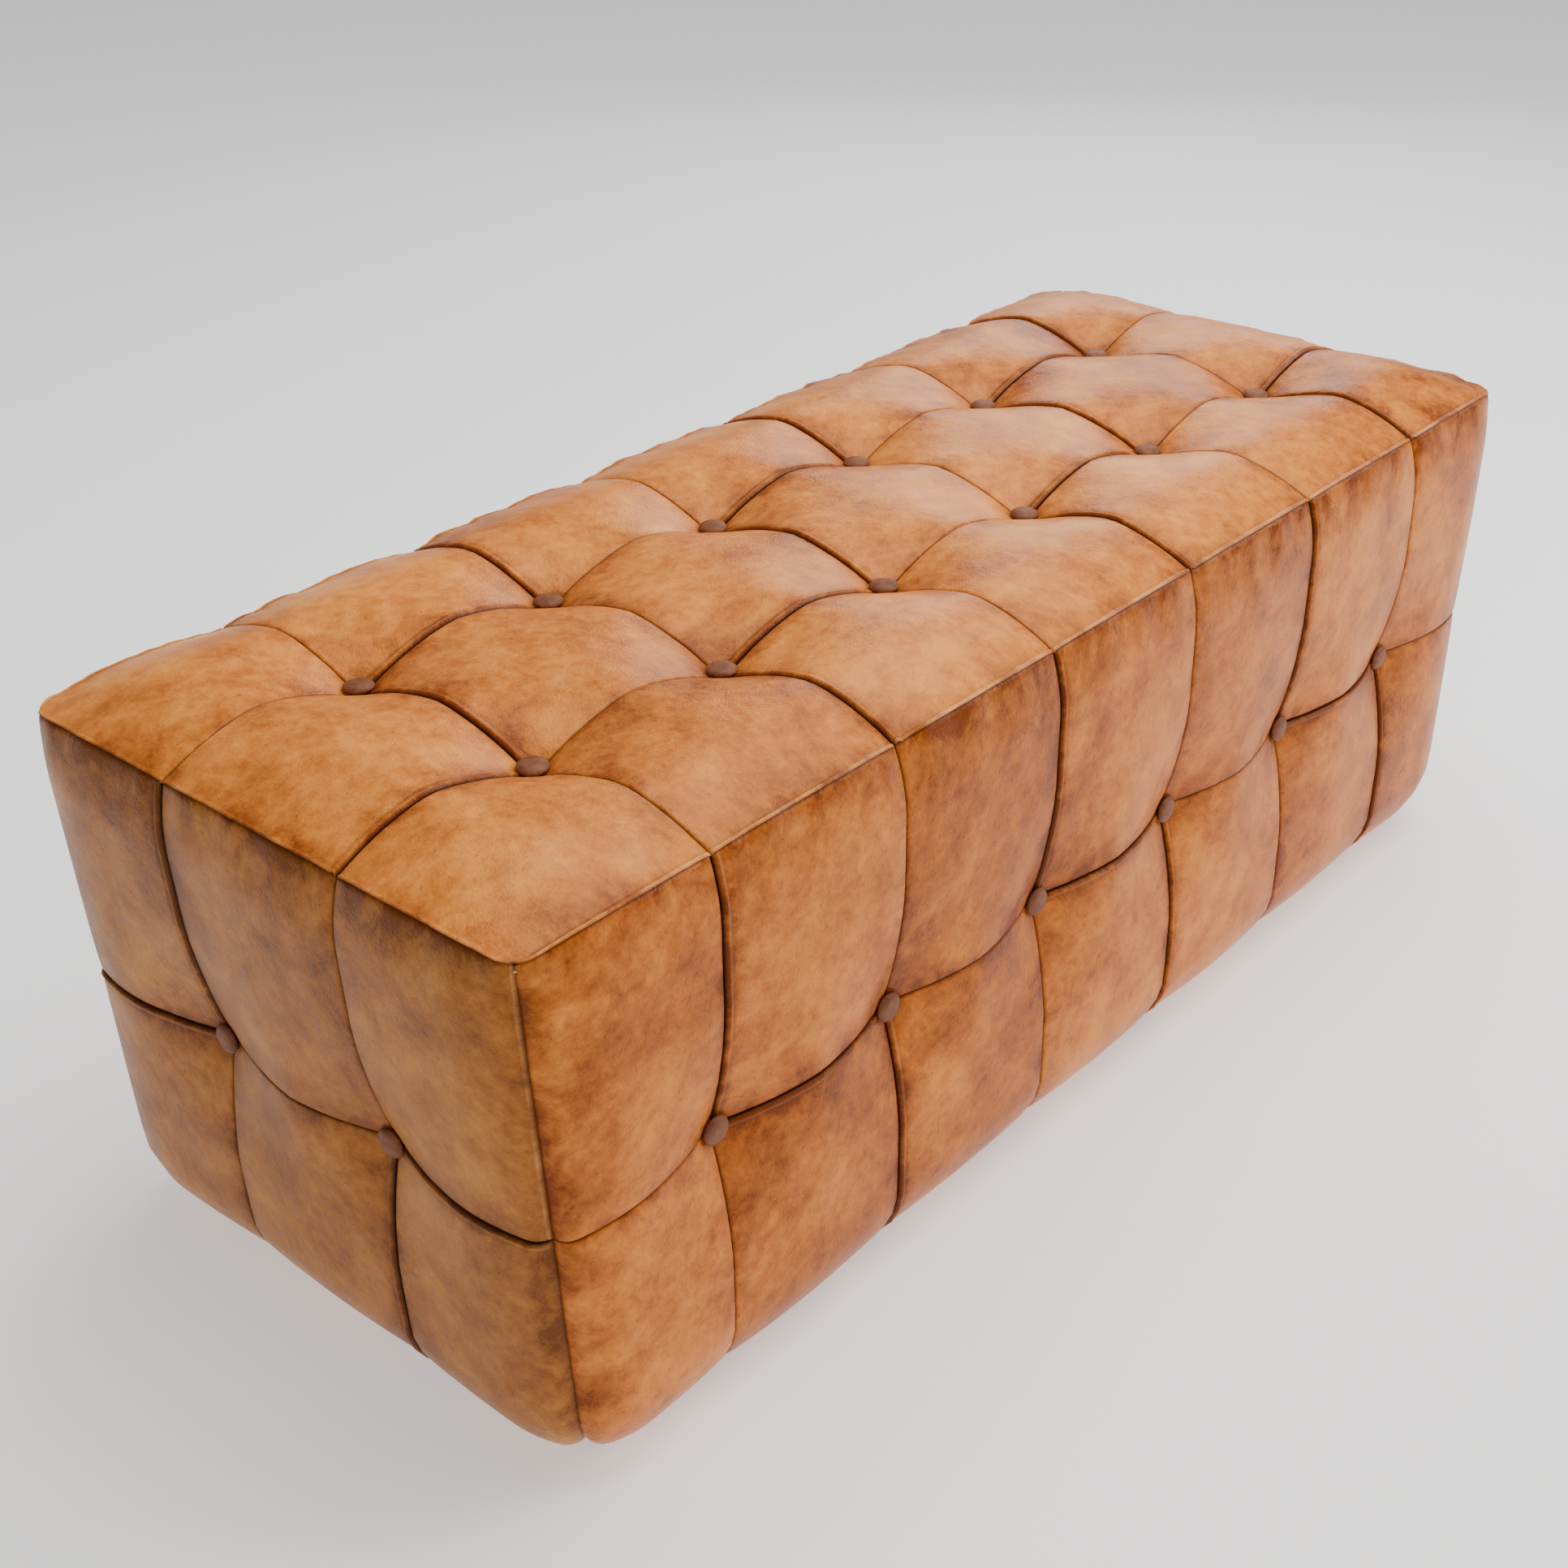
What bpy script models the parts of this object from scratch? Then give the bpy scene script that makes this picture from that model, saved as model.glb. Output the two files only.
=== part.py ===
"""A low rectangular ottoman bench: a timber box, foam, five sewn leather covers and 28 tufting buttons.

Metres, +Z up. X runs along the length and the origin is on the floor, under the middle.
"""

import math

import bmesh
import bpy
from mathutils import Vector

# The sewn grid: seven columns of panels by three rows on top, and two rows round the sides.
PITCH = 0.176
END_COLUMN = 0.1585
MIDDLE_ROW = 0.171
OUTER_ROW = 0.1525
UPPER_BAND = 0.2085
BASE_HEIGHT = 0.008
SEAM_HEIGHT = 0.430
HALF_LENGTH = 2.5 * PITCH + END_COLUMN
HALF_WIDTH = MIDDLE_ROW / 2 + OUTER_ROW
MIDDLE_HEIGHT = SEAM_HEIGHT - UPPER_BAND

# The tufting: how far panels, seams and button seats stand from the plane of the edge seams.
TOP_CROWN = 0.027
SIDE_CROWN = 0.0115
SEAM_GROOVE = 0.003
TOP_SEAT = 0.002
SIDE_SEAT = -0.006
EDGE_ROLL = 0.075
SEAT_HALF = 0.0130
DIMPLE_REACH = 0.076

# The ends lean in towards the floor; the foot of every side is rounded, and its edge is turned
# under and stapled to the rails.
END_LEAN = 0.024
END_SLOPE = END_LEAN / (SEAM_HEIGHT - BASE_HEIGHT)
ROUND_HEIGHT = 0.060
ROUND_SIDE = 0.055
ROUND_END = 0.065
ROUND_ANGLES = (0, 30, 60, 75, 90)
TURN_UNDER = 0.030

LEATHER = 0.0018
GAP = 0.0003
FOAM_FACE = LEATHER + GAP
FOAM_SIDE = 0.0459
FOAM_END = 0.0804
FOAM_TOP = 0.040
FOAM_MITRE = 0.0014

DECK = 0.012
PANEL = 0.009
PANEL_LIFT = 0.0055
FRAME_LIFT = 0.0005
POST = 0.050
RAIL = 0.022
BOTTOM_RAIL = 0.070
TOP_RAIL = 0.045
TENON = 0.025
TENON_SHOULDER = 0.005
CROSS_TENON = 0.012
FIT = 0.0003

BUTTON_RADIUS = 0.0114
BUTTON_DOME = 0.006
SHANK_RADIUS = 0.0022
SHANK = 0.012
BORE_RADIUS = 0.0035
BORE_BEHIND = 0.09
BORE_BEFORE = 0.02

GLIDE_RADIUS = 0.017
GLIDE_INSET_END = 0.009
GLIDE_INSET_SIDE = 0.0115
NAIL_RADIUS = 0.0015
NAIL = 0.012
CLOTH = 0.0007
CLOTH_INSET = 0.012

BOX_LENGTH = HALF_LENGTH - FOAM_END
BOX_WIDTH = HALF_WIDTH - FOAM_SIDE
BOX_TOP = SEAM_HEIGHT - FOAM_TOP
DECK_UNDERSIDE = BOX_TOP - GAP - DECK
FRAME_LENGTH = BOX_LENGTH - 2 * GAP - PANEL
FRAME_WIDTH = BOX_WIDTH - 2 * GAP - PANEL
FRAME_TOP = DECK_UNDERSIDE - GAP
FRAME_BOTTOM = BASE_HEIGHT + LEATHER + FRAME_LIFT
PANEL_BOTTOM = BASE_HEIGHT + PANEL_LIFT

COLUMN_SEAMS = [-HALF_LENGTH] + [(i - 2.5) * PITCH for i in range(6)] + [HALF_LENGTH]
ROW_SEAMS = [-HALF_WIDTH, -MIDDLE_ROW / 2, MIDDLE_ROW / 2, HALF_WIDTH]


def clear_scene():
    for obj in list(bpy.data.objects):
        bpy.data.objects.remove(obj, do_unlink=True)


def finish(name, colour, roughness):
    """A plain principled finish."""
    material = bpy.data.materials.new(name)
    material.use_nodes = True
    shader = material.node_tree.nodes["Principled BSDF"]
    shader.inputs["Base Color"].default_value = (*colour, 1.0)
    shader.inputs["Roughness"].default_value = roughness
    shader.inputs["Metallic"].default_value = 0.0
    return material


def make_object(name, shape, material, round_part=False):
    """Turns a bmesh into a named object whose faces point outwards."""
    bmesh.ops.recalc_face_normals(shape, faces=shape.faces)
    mesh = bpy.data.meshes.new(name)
    shape.to_mesh(mesh)
    shape.free()
    if material:
        mesh.materials.append(material)
    if round_part:
        mesh.shade_smooth()
        mesh.set_sharp_from_angle(angle=math.radians(40))
    obj = bpy.data.objects.new(name, mesh)
    bpy.context.scene.collection.objects.link(obj)
    return obj


def add_box(shape, low, high):
    """Adds a closed box between two corners to a bmesh."""
    middle = (Vector(low) + Vector(high)) / 2
    size = Vector(high) - Vector(low)
    made = bmesh.ops.create_cube(shape, size=1.0)
    bmesh.ops.scale(shape, vec=size, verts=made["verts"])
    bmesh.ops.translate(shape, vec=middle, verts=made["verts"])
    return made["verts"]


def cut(obj, cutter):
    """Takes a hidden cutter away from an object."""
    boolean = obj.modifiers.new("bores", "BOOLEAN")
    boolean.operation = "DIFFERENCE"
    boolean.solver = "EXACT"
    boolean.object = cutter


def hide_cutter(obj):
    obj.hide_render = True
    obj.display_type = "WIRE"
    return obj


# ---- the padded skin, as heights over a grid of seams


def grid_lines(seams):
    """Each seam, a line at the edge of the button seats on both sides of it, and each panel's middle."""
    lines = []
    for low, high in zip(seams, seams[1:]):
        lines += [low, low + SEAT_HALF, (low + high) / 2, high - SEAT_HALF]
    return lines + [seams[-1]]


def nearest(value, places):
    return min(abs(value - place) for place in places)


def dimple(across, along):
    """1 on a button's seat and 0 at the middle of a panel, from the distances to the nearest button."""
    reach = max(across, along)
    return min(1.0, max(0.0, (DIMPLE_REACH - reach) / (DIMPLE_REACH - SEAT_HALF)))


def swell(edge, crown, seat, on_seam, sunk):
    """Height of the skin: rounded up from the edge seam, creased on a seam and sunk under a button."""
    rise = crown * math.sqrt(min(1.0, edge / EDGE_ROLL))
    crease = SEAM_GROOVE if on_seam and edge > 0 else 0.0
    return (rise - crease) * (1 - sunk) + seat * sunk


def top_point(x, y, depth):
    """A point of the top skin, at a depth below the leather's face."""
    edge = min(HALF_LENGTH - abs(x), HALF_WIDTH - abs(y))
    across = nearest(x, COLUMN_SEAMS[1:-1])
    along = nearest(y, ROW_SEAMS[1:-1])
    on_seam = min(across, along) < 1e-6
    height = swell(edge, TOP_CROWN, TOP_SEAT, on_seam, dimple(across, along))
    shrink_x = (HALF_LENGTH - depth - GAP) / HALF_LENGTH
    shrink_y = (HALF_WIDTH - depth - GAP) / HALF_WIDTH
    return Vector((x * shrink_x, y * shrink_y, SEAM_HEIGHT - depth + height))


def side_rows(last_angle, turn_under):
    """Rows of a side skin from the top seam down: (height, angle on the foot, length turned under)."""
    start = BASE_HEIGHT + ROUND_HEIGHT
    heights = [
        SEAM_HEIGHT,
        SEAM_HEIGHT - SEAT_HALF,
        (SEAM_HEIGHT + MIDDLE_HEIGHT) / 2,
        MIDDLE_HEIGHT + SEAT_HALF,
        MIDDLE_HEIGHT,
        MIDDLE_HEIGHT - SEAT_HALF,
        (MIDDLE_HEIGHT + start) / 2,
    ]
    rows = [(height, 0, 0.0) for height in heights]
    rows += [(start, angle, 0.0) for angle in ROUND_ANGLES if angle <= last_angle]
    if turn_under:
        rows.append((start, 90, turn_under))
    return rows


def row_height(row, depth):
    height, angle, _ = row
    if height == SEAM_HEIGHT:
        return SEAM_HEIGHT - depth - GAP
    drop = (ROUND_HEIGHT - depth) * math.sin(math.radians(angle)) if angle else 0.0
    return height - drop


def row_inset(row, depth, reach):
    """How far a row lies in from the plane of the edge seam, for a foot rounded over a given reach."""
    _, angle, under = row
    return depth + (reach - depth) * (1 - math.cos(math.radians(angle))) + under


def end_lean(height):
    """How far the two ends lean in at a height."""
    return END_SLOPE * (SEAM_HEIGHT - height)


def side_point(place, row, depth, long_side):
    """A point of a side skin as (along, outwards, up)."""
    seams = COLUMN_SEAMS if long_side else ROW_SEAMS
    half, half_across = (HALF_LENGTH, HALF_WIDTH) if long_side else (HALF_WIDTH, HALF_LENGTH)
    reach, reach_across = (ROUND_END, ROUND_SIDE) if long_side else (ROUND_SIDE, ROUND_END)
    lean = end_lean(row_height(row, 0.0))
    mitre = FOAM_MITRE if depth == FOAM_FACE else GAP
    end = half - row_inset(row, depth, reach) - mitre - (lean if long_side else 0.0)
    last = seams[-2]
    along = place
    if abs(place) > last + 1e-6:
        along = math.copysign(last + (abs(place) - last) / (half - last) * (end - last), place)
    height = row[0]
    edge = min(half - abs(place), SEAM_HEIGHT - height)
    across = nearest(place, seams[1:-1])
    down = abs(height - MIDDLE_HEIGHT)
    on_seam = min(across, down) < 1e-6
    bulge = swell(edge, SIDE_CROWN, SIDE_SEAT, on_seam, dimple(across, down))
    bulge *= math.cos(math.radians(row[1])) ** 2
    out = half_across - row_inset(row, depth, reach_across) + bulge
    return along, out - (0.0 if long_side else lean), row_height(row, depth)


def place_side(side, along, out, up):
    """Turns (along, outwards, up) of a side into world coordinates."""
    return {
        "front": Vector((along, -out, up)),
        "back": Vector((along, out, up)),
        "left": Vector((-out, along, up)),
        "right": Vector((out, along, up)),
    }[side]


def boundary(rows, columns):
    """Grid places round the border of a grid, in order."""
    path = [(0, j) for j in range(columns)]
    path += [(i, columns - 1) for i in range(1, rows)]
    path += [(rows - 1, j) for j in range(columns - 2, -1, -1)]
    path += [(i, 0) for i in range(rows - 2, 0, -1)]
    return path


def skin_faces(shape, grid):
    rows, columns = len(grid), len(grid[0])
    verts = [[shape.verts.new(point) for point in line] for line in grid]
    for i in range(rows - 1):
        for j in range(columns - 1):
            corners = (verts[i][j], verts[i][j + 1], verts[i + 1][j + 1], verts[i + 1][j])
            shape.faces.new(corners)
    return verts


def close_border(shape, outer, inner):
    """Joins two rings of vertices with a strip of faces."""
    for i in range(len(outer)):
        j = (i + 1) % len(outer)
        shape.faces.new((outer[i], outer[j], inner[j], inner[i]))


def cover(name, outer, inner, material):
    """A leather cover: two skins a leather's thickness apart, joined round the border."""
    shape = bmesh.new()
    face = skin_faces(shape, outer)
    lining = skin_faces(shape, inner)
    ring = boundary(len(outer), len(outer[0]))
    close_border(shape, [face[i][j] for i, j in ring], [lining[i][j] for i, j in ring])
    return make_object(name, shape, material, round_part=True)


def foam_block(name, outer, back, material):
    """A foam slab: the padded skin in front and one flat face behind it."""
    shape = bmesh.new()
    face = skin_faces(shape, outer)
    ring = boundary(len(outer), len(outer[0]))
    rear = [shape.verts.new(back[i][j]) for i, j in ring]
    close_border(shape, [face[i][j] for i, j in ring], rear)
    shape.faces.new(rear)
    return make_object(name, shape, material, round_part=True)


def top_grid(depth):
    return [[top_point(x, y, depth) for x in grid_lines(COLUMN_SEAMS)] for y in grid_lines(ROW_SEAMS)]


def side_grid(side, rows, depth):
    long_side = side in ("front", "back")
    lines = grid_lines(COLUMN_SEAMS if long_side else ROW_SEAMS)
    return [[place_side(side, *side_point(s, row, depth, long_side)) for s in lines] for row in rows]


def top_back_grid():
    """The top foam's flat underside, on the deck."""
    scale_x = (BOX_LENGTH - GAP) / HALF_LENGTH
    scale_y = (BOX_WIDTH - GAP) / HALF_WIDTH
    columns, rows = grid_lines(COLUMN_SEAMS), grid_lines(ROW_SEAMS)
    return [[Vector((x * scale_x, y * scale_y, BOX_TOP)) for x in columns] for y in rows]


def side_back_grid(side, rows):
    """A side foam's flat back, on its plywood panel."""
    long_side = side in ("front", "back")
    half, box, out = (
        (HALF_LENGTH, BOX_LENGTH, BOX_WIDTH) if long_side else (HALF_WIDTH, BOX_WIDTH, BOX_LENGTH)
    )
    lowest = row_height(rows[-1], FOAM_FACE)
    highest = row_height(rows[0], FOAM_FACE)
    stretch = (BOX_TOP - GAP - lowest) / (highest - lowest)
    grid = []
    for row in rows:
        up = lowest + (row_height(row, FOAM_FACE) - lowest) * stretch
        lines = grid_lines(COLUMN_SEAMS if long_side else ROW_SEAMS)
        grid.append([place_side(side, s * (box - FOAM_MITRE) / half, out, up) for s in lines])
    return grid


# ---- buttons and bores


def button_places():
    """Each button's name, seat and outward direction, by face."""
    places = {"top": [], "front": [], "back": [], "left": [], "right": []}
    for row, y in (("front", ROW_SEAMS[1]), ("back", ROW_SEAMS[2])):
        for i, x in enumerate(COLUMN_SEAMS[1:-1], start=1):
            seat = Vector((x, y, SEAM_HEIGHT + TOP_SEAT))
            places["top"].append((f"top_button_{row}_{i}", seat, Vector((0, 0, 1))))
    for side, sign in (("front", -1), ("back", 1)):
        for i, x in enumerate(COLUMN_SEAMS[1:-1], start=1):
            seat = Vector((x, sign * (HALF_WIDTH + SIDE_SEAT), MIDDLE_HEIGHT))
            places[side].append((f"{side}_button_{i}", seat, Vector((0, sign, 0))))
    end_seat = HALF_LENGTH + SIDE_SEAT - end_lean(MIDDLE_HEIGHT)
    for side, sign in (("left", -1), ("right", 1)):
        outward = Vector((sign, 0, -END_SLOPE)).normalized()
        for row, y in (("front", ROW_SEAMS[1]), ("back", ROW_SEAMS[2])):
            seat = Vector((sign * end_seat, y, MIDDLE_HEIGHT))
            places[side].append((f"{side}_button_{row}", seat, outward))
    return places


def turned(name, profile, segments, material):
    """A solid turned about Z from a profile of (radius, height), whose ends are on the axis."""
    shape = bmesh.new()
    points = [shape.verts.new((radius, 0, height)) for radius, height in profile]
    edges = [shape.edges.new(pair) for pair in zip(points, points[1:])]
    bmesh.ops.spin(
        shape,
        geom=points + edges,
        cent=(0, 0, 0),
        axis=(0, 0, 1),
        angle=2 * math.pi,
        steps=segments,
        use_merge=True,
    )
    bmesh.ops.remove_doubles(shape, verts=shape.verts, dist=1e-6)
    return make_object(name, shape, material, round_part=True)


def button(name, seat, outward, material):
    """A domed, leather-covered button and the wire shank behind it."""
    profile = [
        (0, BUTTON_DOME),
        (0.62 * BUTTON_RADIUS, 0.82 * BUTTON_DOME),
        (BUTTON_RADIUS, 0.3 * BUTTON_DOME),
        (0.92 * BUTTON_RADIUS, 0),
        (SHANK_RADIUS, 0),
        (SHANK_RADIUS, -SHANK),
        (0, -SHANK),
    ]
    obj = turned(name, profile, 10, material)
    obj.rotation_euler = outward.to_track_quat("Z", "Y").to_euler()
    obj.location = seat + outward * GAP
    return obj


def bores(name, places):
    """A hidden cutter: one six-sided bore behind each button of a face."""
    shape = bmesh.new()
    for _, seat, outward in places:
        made = bmesh.ops.create_cone(
            shape,
            cap_ends=True,
            segments=6,
            radius1=BORE_RADIUS,
            radius2=BORE_RADIUS,
            depth=BORE_BEHIND + BORE_BEFORE,
        )
        turn = outward.to_track_quat("Z", "Y").to_matrix()
        bmesh.ops.rotate(shape, cent=(0, 0, 0), matrix=turn, verts=made["verts"])
        middle = seat + outward * (BORE_BEFORE - BORE_BEHIND) / 2
        bmesh.ops.translate(shape, vec=middle, verts=made["verts"])
    return hide_cutter(make_object(name, shape, None))


# ---- timber


def plain_board(name, low, high, material):
    shape = bmesh.new()
    add_box(shape, low, high)
    return make_object(name, shape, material)


def rail(name, low, high, axis, tenon, material):
    """A rail along X (axis 0) or Y (axis 1), shouldered down to a tenon at each end."""
    shape = bmesh.new()
    add_box(shape, low, high)
    for end in (-1, 1):
        outward = Vector((0, 0, 0))
        outward[axis] = end
        face = next(f for f in shape.faces if f.normal.dot(outward) > 0.99)
        bmesh.ops.inset_region(shape, faces=[face], thickness=TENON_SHOULDER, use_even_offset=True)
        grown = bmesh.ops.extrude_discrete_faces(shape, faces=[face])["faces"]
        bmesh.ops.translate(shape, vec=outward * tenon, verts=grown[0].verts)
    return make_object(name, shape, material)


def mortise(shape, low, high, axis, tenon):
    """Adds to a cutter the pockets that a rail's two tenons fill, with clearance."""
    for end in (-1, 1):
        pocket_low = [value + TENON_SHOULDER - FIT for value in low]
        pocket_high = [value - TENON_SHOULDER + FIT for value in high]
        if end < 0:
            pocket_low[axis] = low[axis] - tenon - FIT
            pocket_high[axis] = low[axis] + 0.002
        else:
            pocket_low[axis] = high[axis] - 0.002
            pocket_high[axis] = high[axis] + tenon + FIT
        add_box(shape, pocket_low, pocket_high)


def rail_set():
    """Name, low corner, high corner, axis and tenon of each rail."""
    inner_x = FRAME_LENGTH - POST - GAP
    inner_y = FRAME_WIDTH - POST - GAP
    bottom = (FRAME_BOTTOM, FRAME_BOTTOM + BOTTOM_RAIL)
    top = (FRAME_TOP - TOP_RAIL, FRAME_TOP)
    found = []
    for side, sign in (("front", -1), ("back", 1)):
        near, far = sorted((sign * (FRAME_WIDTH - RAIL), sign * FRAME_WIDTH))
        for level, (low_z, high_z) in (("bottom", bottom), ("top", top)):
            low, high = (-inner_x, near, low_z), (inner_x, far, high_z)
            found.append((f"{side}_{level}_rail", low, high, 0, TENON))
    for side, sign in (("left", -1), ("right", 1)):
        near, far = sorted((sign * (FRAME_LENGTH - RAIL), sign * FRAME_LENGTH))
        low, high = (near, -inner_y, bottom[0]), (far, inner_y, bottom[1])
        found.append((f"{side}_bottom_rail", low, high, 1, TENON))
    cross = FRAME_WIDTH - RAIL - GAP
    for level, (low_z, high_z) in (("bottom", bottom), ("top", top)):
        low, high = (-RAIL / 2, -cross, low_z), (RAIL / 2, cross, high_z)
        found.append((f"{level}_cross_rail", low, high, 1, CROSS_TENON))
    return found


def make_frame(material):
    """Four corner posts, mortised for the rails and drilled for the glides' nails."""
    rails = rail_set()
    pockets = bmesh.new()
    for name, low, high, axis, tenon in rails:
        if "cross" not in name:
            mortise(pockets, low, high, axis, tenon)
    for x, y in glide_places():
        add_box(
            pockets,
            (x - NAIL_RADIUS - FIT, y - NAIL_RADIUS - FIT, FRAME_BOTTOM - 0.002),
            (x + NAIL_RADIUS + FIT, y + NAIL_RADIUS + FIT, BASE_HEIGHT + NAIL + FIT),
        )
    post_cutter = hide_cutter(make_object("post_pockets", pockets, None))
    for x_name, x_sign in (("left", -1), ("right", 1)):
        for y_name, y_sign in (("front", -1), ("back", 1)):
            x_low, x_high = sorted((x_sign * (FRAME_LENGTH - POST), x_sign * FRAME_LENGTH))
            y_low, y_high = sorted((y_sign * (FRAME_WIDTH - POST), y_sign * FRAME_WIDTH))
            low, high = (x_low, y_low, FRAME_BOTTOM), (x_high, y_high, FRAME_TOP)
            cut(plain_board(f"{y_name}_{x_name}_post", low, high, material), post_cutter)
    crossing = bmesh.new()
    for name, low, high, axis, tenon in rails:
        if "cross" in name:
            mortise(crossing, low, high, axis, tenon)
    rail_cutter = hide_cutter(make_object("rail_pockets", crossing, None))
    for name, low, high, axis, tenon in rails:
        made = rail(name, low, high, axis, tenon, material)
        if axis == 0:
            cut(made, rail_cutter)


def make_boards(material, cutters):
    """The deck and the four side panels, each with a hole behind every button."""
    width, length = BOX_WIDTH - GAP, BOX_LENGTH - GAP
    deck = plain_board(
        "top_deck", (-length, -width, DECK_UNDERSIDE), (length, width, BOX_TOP - GAP), material
    )
    cut(deck, cutters["top"])
    for side, sign in (("front", -1), ("back", 1)):
        near, far = sorted((sign * (width - PANEL), sign * width))
        board = plain_board(
            f"{side}_panel", (-length, near, PANEL_BOTTOM), (length, far, FRAME_TOP), material
        )
        cut(board, cutters[side])
    inner = width - PANEL - GAP
    for side, sign in (("left", -1), ("right", 1)):
        near, far = sorted((sign * (length - PANEL), sign * length))
        board = plain_board(
            f"{side}_panel", (near, -inner, PANEL_BOTTOM), (far, inner, FRAME_TOP), material
        )
        cut(board, cutters[side])


# ---- underside


def glide_places():
    x = FRAME_LENGTH - POST + GLIDE_INSET_END
    y = FRAME_WIDTH - POST + GLIDE_INSET_SIDE
    return [(sx * x, sy * y) for sx in (-1, 1) for sy in (-1, 1)]


def make_underside(cloth, plastic):
    """The dust cloth below the rails and a nailed glide under each corner post."""
    top = BASE_HEIGHT - GAP
    bottom = top - CLOTH
    half_x = HALF_LENGTH - END_LEAN - ROUND_END - CLOTH_INSET
    half_y = HALF_WIDTH - ROUND_SIDE - CLOTH_INSET
    holes = bmesh.new()
    for x, y in glide_places():
        clear = NAIL_RADIUS + FIT
        add_box(holes, (x - clear, y - clear, bottom - 0.002), (x + clear, y + clear, top + 0.002))
    cutter = hide_cutter(make_object("nail_holes", holes, None))
    cut(plain_board("dust_cloth", (-half_x, -half_y, bottom), (half_x, half_y, top), cloth), cutter)
    plate = bottom - GAP
    profile = [
        (0, BASE_HEIGHT + NAIL),
        (NAIL_RADIUS, BASE_HEIGHT + NAIL),
        (NAIL_RADIUS, plate),
        (0.85 * GLIDE_RADIUS, plate),
        (GLIDE_RADIUS, 0.6 * plate),
        (0.9 * GLIDE_RADIUS, 0),
        (0, 0),
    ]
    names = ("front_left_glide", "back_left_glide", "front_right_glide", "back_right_glide")
    for name, (x, y) in zip(names, glide_places()):
        glide = turned(name, profile, 16, plastic)
        glide.location = (x, y, 0)


def main():
    clear_scene()
    leather = finish("leather_tan", (0.42, 0.19, 0.07), 0.45)
    button_leather = finish("leather_button", (0.30, 0.13, 0.06), 0.5)
    foam = finish("foam", (0.80, 0.72, 0.50), 0.95)
    timber = finish("pine", (0.62, 0.45, 0.26), 0.7)
    plywood = finish("plywood", (0.66, 0.50, 0.32), 0.75)
    cloth = finish("dust_cloth", (0.02, 0.02, 0.02), 0.95)
    plastic = finish("glide_plastic", (0.05, 0.035, 0.03), 0.5)

    places = button_places()
    cutters = {face: bores(f"{face}_bores", spots) for face, spots in places.items()}

    cut(cover("top_cover", top_grid(0.0), top_grid(LEATHER), leather), cutters["top"])
    cut(foam_block("top_foam", top_grid(FOAM_FACE), top_back_grid(), foam), cutters["top"])
    cover_rows = side_rows(90, TURN_UNDER)
    foam_rows = side_rows(75, 0.0)
    for side in ("front", "back", "left", "right"):
        face = side_grid(side, cover_rows, 0.0)
        lining = side_grid(side, cover_rows, LEATHER)
        cut(cover(f"{side}_cover", face, lining, leather), cutters[side])
        pad = side_grid(side, foam_rows, FOAM_FACE)
        cut(foam_block(f"{side}_foam", pad, side_back_grid(side, foam_rows), foam), cutters[side])

    for spots in places.values():
        for name, seat, outward in spots:
            button(name, seat, outward, button_leather)

    make_boards(plywood, cutters)
    make_frame(timber)
    make_underside(cloth, plastic)


main()
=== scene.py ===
import math

import bmesh
import bpy
import numpy as np
from mathutils import Matrix, Vector


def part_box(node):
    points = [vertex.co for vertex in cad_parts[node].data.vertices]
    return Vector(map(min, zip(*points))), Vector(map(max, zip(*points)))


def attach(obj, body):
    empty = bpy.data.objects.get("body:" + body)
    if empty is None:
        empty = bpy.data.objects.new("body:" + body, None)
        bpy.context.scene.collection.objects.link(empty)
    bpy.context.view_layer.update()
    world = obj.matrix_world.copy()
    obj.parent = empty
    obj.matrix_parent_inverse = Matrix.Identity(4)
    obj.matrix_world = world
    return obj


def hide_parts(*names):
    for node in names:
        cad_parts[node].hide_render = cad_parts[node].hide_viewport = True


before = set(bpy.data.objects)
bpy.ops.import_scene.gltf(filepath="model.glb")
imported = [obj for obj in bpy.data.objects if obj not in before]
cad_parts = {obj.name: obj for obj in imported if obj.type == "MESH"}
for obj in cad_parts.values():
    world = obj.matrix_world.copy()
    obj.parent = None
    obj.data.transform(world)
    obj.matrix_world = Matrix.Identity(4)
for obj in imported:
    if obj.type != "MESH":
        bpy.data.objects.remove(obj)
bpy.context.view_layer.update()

# ------------------------------------------------ the sewn grid, read from the frame

LEATHER = 0.0016
ROUND_HEIGHT = 0.060
ROUND_SIDE = 0.055
ROUND_END = 0.065
END_LEAN = 0.024
TURN_UNDER = 0.030
FOOT_ARC = 0.105

TOP_SEAT = 0.002  # padding above the seam plane under a button, and in the middle of a panel
TOP_CROWN = 0.0275
SIDE_SEAT = -0.006
SIDE_CROWN = 0.0130
CAD_GAP = 0.0003  # the covers stop this short of the seam planes

SIDES = ("front", "back", "left", "right")
LONG_SIDES = ("front", "back")


def middle_of(node):
    low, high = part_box(node)
    return (Vector(low) + Vector(high)) / 2


half_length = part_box("top_cover")[1][0] + CAD_GAP
half_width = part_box("top_cover")[1][1] + CAD_GAP
seam_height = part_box("front_cover")[1][2] + CAD_GAP
base_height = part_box("front_cover")[0][2]
upper_band = seam_height - middle_of("front_button_1").z
inner_columns = [middle_of(f"front_button_{i}").x for i in range(1, 7)]
inner_rows = [middle_of("left_button_front").y, middle_of("left_button_back").y]
column_seams = [-half_length, *inner_columns, half_length]
row_seams = [-half_width, *inner_rows, half_width]
wall_height = seam_height - base_height - ROUND_HEIGHT
skirt_length = wall_height + FOOT_ARC + TURN_UNDER
half_pitch = (inner_columns[1] - inner_columns[0]) / 2


# ------------------------------------------------ the padded skin

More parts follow.
